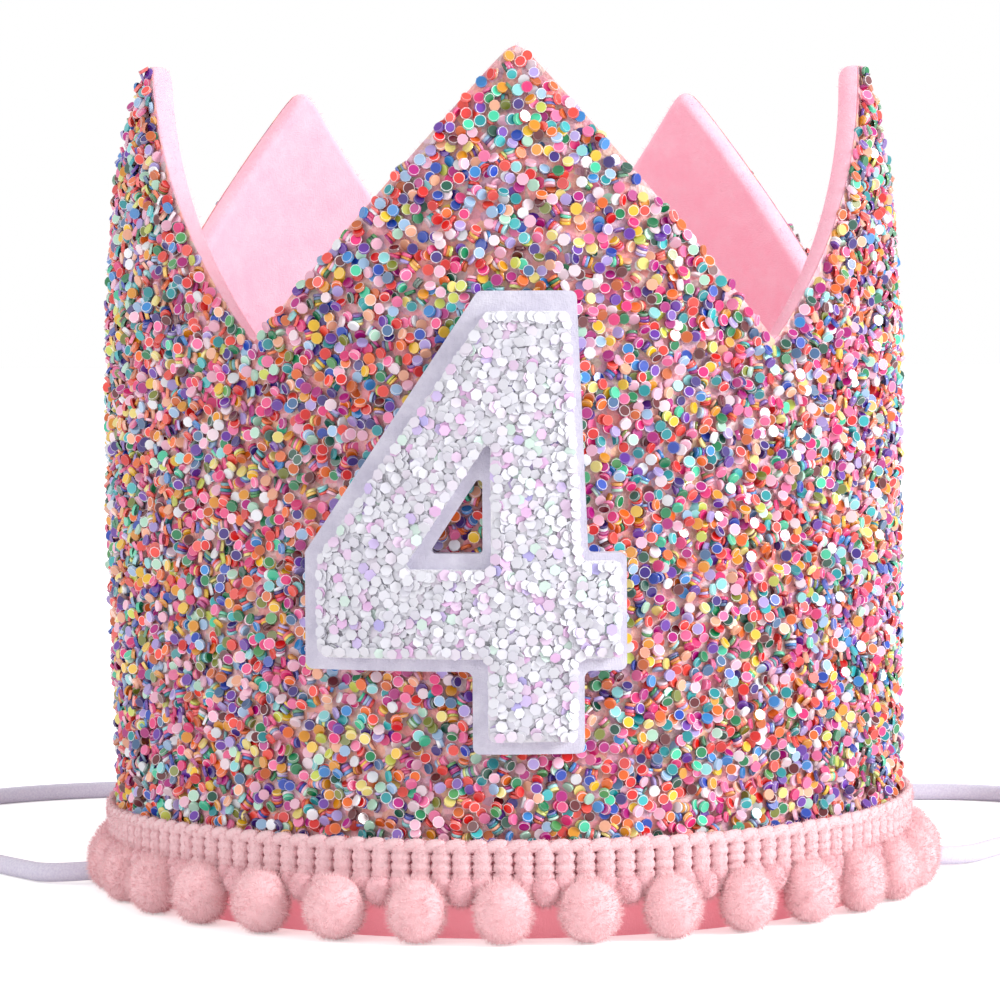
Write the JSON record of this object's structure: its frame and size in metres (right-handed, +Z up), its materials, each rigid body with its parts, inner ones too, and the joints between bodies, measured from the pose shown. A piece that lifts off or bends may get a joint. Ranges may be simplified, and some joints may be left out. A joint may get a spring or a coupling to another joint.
{
  "type": "birthday crown",
  "caption": "Small open felt crown with pointed peaks, confetti glitter cover, pompom fringe, padded numeral and an elastic loop, worn on the head at a party.",
  "frame": {"origin": "on the surface it stands on, under the middle of the crown's round band", "axes": "+Z up along the crown's axis, -Y towards the front where the numeral is, +X to the wearer's left"},
  "size_m": [0.1827, 0.1467, 0.1108],
  "materials": {
    "felt_pink": "pink wool-blend felt, matt and slightly fuzzy",
    "confetti_glitter": "dusty pink fabric covered in small multicoloured confetti discs",
    "trim_yarn": "salmon pink chenille yarn in upright ribs",
    "pompom_yarn": "soft salmon pink cut yarn",
    "felt_lilac": "lilac-white felt, matt",
    "numeral_glitter": "white fabric covered in iridescent glitter flakes",
    "elastic": "round braided elastic, white with a lilac tint"
  },
  "bodies": {
    "root": {"elastic_cord": "elastic", "felt_lining": "felt_pink", "glitter_cover": "confetti_glitter", "knot_left": "elastic", "knot_right": "elastic", "numeral_base": "felt_lilac", "numeral_face": "numeral_glitter", "pompom_01": "pompom_yarn", "pompom_02": "pompom_yarn", "pompom_03": "pompom_yarn", "pompom_04": "pompom_yarn", "pompom_05": "pompom_yarn", "pompom_06": "pompom_yarn", "pompom_07": "pompom_yarn", "pompom_08": "pompom_yarn", "pompom_09": "pompom_yarn", "pompom_10": "pompom_yarn", "pompom_11": "pompom_yarn", "pompom_12": "pompom_yarn", "pompom_13": "pompom_yarn", "pompom_14": "pompom_yarn", "pompom_15": "pompom_yarn", "pompom_16": "pompom_yarn", "pompom_17": "pompom_yarn", "pompom_18": "pompom_yarn", "pompom_19": "pompom_yarn", "pompom_20": "pompom_yarn", "pompom_21": "pompom_yarn", "pompom_22": "pompom_yarn", "pompom_23": "pompom_yarn", "pompom_24": "pompom_yarn", "pompom_25": "pompom_yarn", "pompom_26": "pompom_yarn", "pompom_27": "pompom_yarn", "pompom_28": "pompom_yarn", "pompom_29": "pompom_yarn", "pompom_30": "pompom_yarn", "pompom_31": "pompom_yarn", "pompom_32": "pompom_yarn", "pompom_33": "pompom_yarn", "pompom_34": "pompom_yarn", "trim_header": "trim_yarn"}
  },
  "joints": []
}
